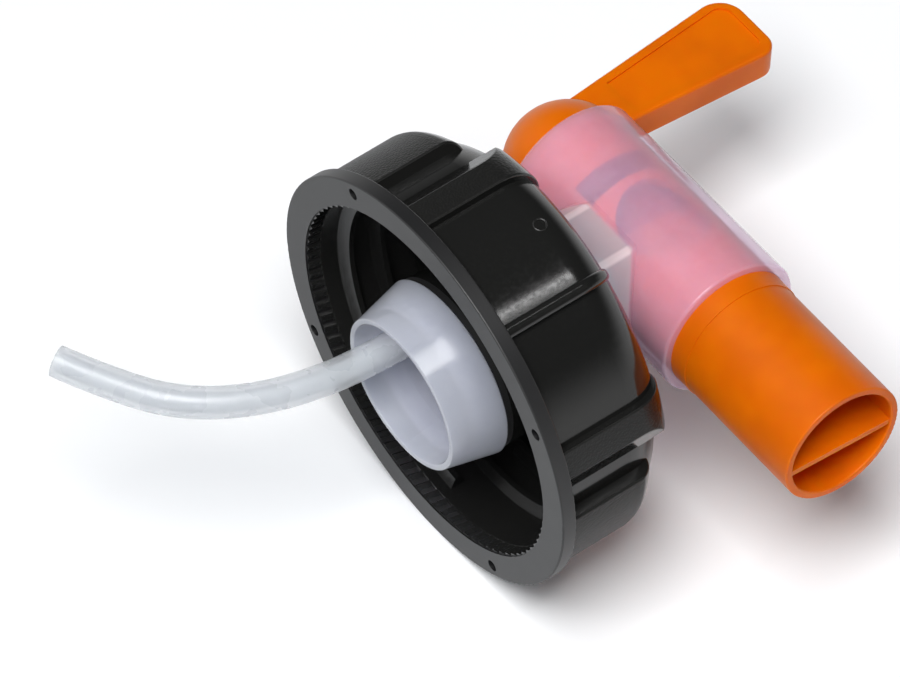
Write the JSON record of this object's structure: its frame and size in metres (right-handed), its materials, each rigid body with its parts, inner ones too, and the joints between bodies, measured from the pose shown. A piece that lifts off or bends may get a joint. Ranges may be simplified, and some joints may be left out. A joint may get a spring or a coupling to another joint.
{
  "type": "canister tap",
  "caption": "Quarter-turn plastic tap on a swivelling screw cap for a canister, with a lever, a divided spout and a bent air tube reaching into the canister.",
  "frame": {"origin": "centre of the cap's mouth plane, on the thread's axis", "axes": "+Y along the thread's axis, out of the mouth towards the canister; +Z along the barrel from the spout to the lever; the lever points towards -Y"},
  "size_m": [0.072, 0.1315, 0.0855],
  "materials": {
    "black_polypropylene": "moulded, glossy panels and fine grained grips",
    "gasket_rubber": "matt",
    "natural_polypropylene": "moulded, milky translucent",
    "orange_polyethylene": "moulded, smooth",
    "natural_polyethylene": "extruded, milky translucent"
  },
  "bodies": {
    "cap": {"screw_cap": "black_polypropylene", "canister_gasket": "gasket_rubber", "swivel_washer": "gasket_rubber"},
    "tap": {"tap_body": "natural_polypropylene", "air_tube": "natural_polyethylene"},
    "plug": {"valve_plug": "orange_polyethylene"}
  },
  "joints": [
    {"name": "tap_swivel", "type": "hinge", "parent": "cap", "child": "tap", "pos_m": [0, 0, 0], "axis": [0, 1, 0], "continuous": true},
    {"name": "lever_turn", "type": "hinge", "parent": "tap", "child": "plug", "pos_m": [0, -0.0436, 0], "axis": [0, 0, 1], "range_deg": [-95, 0]}
  ]
}
